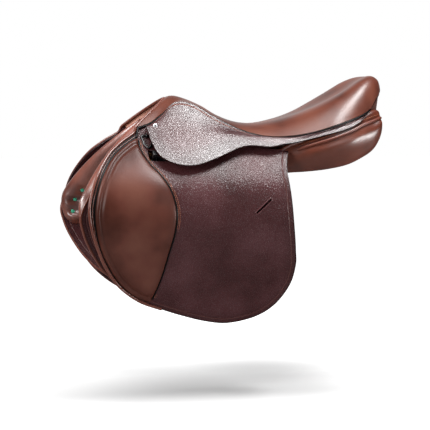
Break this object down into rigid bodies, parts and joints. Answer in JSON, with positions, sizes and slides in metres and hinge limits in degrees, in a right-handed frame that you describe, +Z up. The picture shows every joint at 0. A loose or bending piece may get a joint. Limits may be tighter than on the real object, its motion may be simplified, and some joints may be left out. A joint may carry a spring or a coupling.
{
  "type": "close-contact jumping saddle",
  "caption": "English close-contact saddle with a deep seat, hinged flaps and skirts, forward knee pads, stirrup bars, girth straps, front dees and padded panels.",
  "frame": {"origin": "centre plane of the saddle, at the level where its panels bear on a rack, near the middle of its length", "axes": "+X towards the cantle, -Y towards the near (left) side, +Z up"},
  "size_m": [0.5944, 0.3718, 0.4553],
  "materials": {
    "calf": "smooth brown calf with a soft sheen",
    "grain": "pebble-grained dark plum leather, satin",
    "piping": "reddish-brown rolled leather piping",
    "black_piping": "black rolled leather welt",
    "black_steel": "black lacquered steel",
    "bright_steel": "polished nickel plate",
    "beech": "laminated beech, lacquered",
    "webbing": "woven linen webbing",
    "foam": "wool and foam padding",
    "green_thread": "green wound-thread tuft buttons"
  },
  "bodies": {
    "root": {"seat_cover": "calf", "cantle_facing": "calf", "head_lining": "calf", "panel_near": "calf", "panel_off": "calf", "panel_roll_near": "calf", "panel_roll_off": "calf", "front_block_near": "calf", "front_block_off": "calf", "rear_block_near": "calf", "rear_block_off": "calf", "sweat_flap_near": "grain", "sweat_flap_off": "grain", "skirt_top_near": "grain", "skirt_top_off": "grain", "panel_bead_near": "piping", "panel_bead_off": "piping", "head_welt": "black_piping", "seat_welt_near": "black_piping", "seat_welt_off": "black_piping", "head_plate": "black_steel", "stirrup_bar_near": "black_steel", "stirrup_bar_off": "black_steel", "skirt_nail_near": "bright_steel", "skirt_nail_off": "bright_steel", "tree_head": "beech", "tree_cantle": "beech", "tree_rail_near": "beech", "tree_rail_off": "beech", "tree_point_near": "beech", "tree_point_off": "beech", "seat_web_long": "webbing", "seat_web_cross": "webbing", "girth_web_near": "webbing", "girth_web_off": "webbing", "seat_foam": "foam", "tuft_1_near": "green_thread", "tuft_1_off": "green_thread", "tuft_2_near": "green_thread", "tuft_2_off": "green_thread", "tuft_3_near": "green_thread", "tuft_3_off": "green_thread"},
    "flap_near": {"flap_near": "grain", "knee_pad_near": "calf", "flap_bead_near": "piping", "dee_staple_near": "black_steel"},
    "skirt_near": {"skirt_near": "grain"},
    "catch_near": {"bar_catch_near": "black_steel"},
    "dee_near": {"dee_near": "black_steel"},
    "billet_front_near": {"billet_front_near": "grain"},
    "billet_rear_near": {"billet_rear_near": "grain"},
    "flap_off": {"flap_off": "grain", "knee_pad_off": "calf", "flap_bead_off": "piping", "dee_staple_off": "black_steel"},
    "skirt_off": {"skirt_off": "grain"},
    "catch_off": {"bar_catch_off": "black_steel"},
    "dee_off": {"dee_off": "black_steel"},
    "billet_front_off": {"billet_front_off": "grain"},
    "billet_rear_off": {"billet_rear_off": "grain"}
  },
  "joints": [
    {"name": "flap_near_lift", "type": "hinge", "parent": "root", "child": "flap_near", "pos_m": [-0.173, -0.09561, 0.0821], "axis": [-0.9853, 0.123, 0.1186], "range_deg": [0, 70]},
    {"name": "skirt_near_lift", "type": "hinge", "parent": "flap_near", "child": "skirt_near", "pos_m": [-0.173, -0.09561, 0.0821], "axis": [-0.9853, 0.123, 0.1186], "range_deg": [0, 50]},
    {"name": "catch_near_turn", "type": "hinge", "parent": "root", "child": "catch_near", "pos_m": [-0.09363, -0.13167, 0.03072], "axis": [0, -0.714, 0.7002], "range_deg": [0, 75]},
    {"name": "dee_near_swing", "type": "hinge", "parent": "flap_near", "child": "dee_near", "pos_m": [-0.174, -0.09374, 0.06782], "axis": [-1, 0, 0], "range_deg": [0, 8]},
    {"name": "billet_front_near_swing", "type": "hinge", "parent": "root", "child": "billet_front_near", "pos_m": [-0.055, -0.13609, -0.01644], "axis": [0, 1, 0], "range_deg": [-3, 3]},
    {"name": "billet_rear_near_swing", "type": "hinge", "parent": "root", "child": "billet_rear_near", "pos_m": [-0.013, -0.14094, -0.01291], "axis": [0, 1, 0], "range_deg": [-3, 3]},
    {"name": "flap_off_lift", "type": "hinge", "parent": "root", "child": "flap_off", "pos_m": [-0.173, 0.09561, 0.0821], "axis": [0.9853, 0.123, -0.1186], "range_deg": [0, 70]},
    {"name": "skirt_off_lift", "type": "hinge", "parent": "flap_off", "child": "skirt_off", "pos_m": [-0.173, 0.09561, 0.0821], "axis": [0.9853, 0.123, -0.1186], "range_deg": [0, 50]},
    {"name": "catch_off_turn", "type": "hinge", "parent": "root", "child": "catch_off", "pos_m": [-0.09363, 0.13167, 0.03072], "axis": [0, -0.714, -0.7002], "range_deg": [0, 75]},
    {"name": "dee_off_swing", "type": "hinge", "parent": "flap_off", "child": "dee_off", "pos_m": [-0.174, 0.09374, 0.06782], "axis": [1, 0, 0], "range_deg": [0, 8]},
    {"name": "billet_front_off_swing", "type": "hinge", "parent": "root", "child": "billet_front_off", "pos_m": [-0.055, 0.13609, -0.01644], "axis": [0, 1, 0], "range_deg": [-3, 3]},
    {"name": "billet_rear_off_swing", "type": "hinge", "parent": "root", "child": "billet_rear_off", "pos_m": [-0.013, 0.14094, -0.01291], "axis": [0, 1, 0], "range_deg": [-3, 3]}
  ]
}
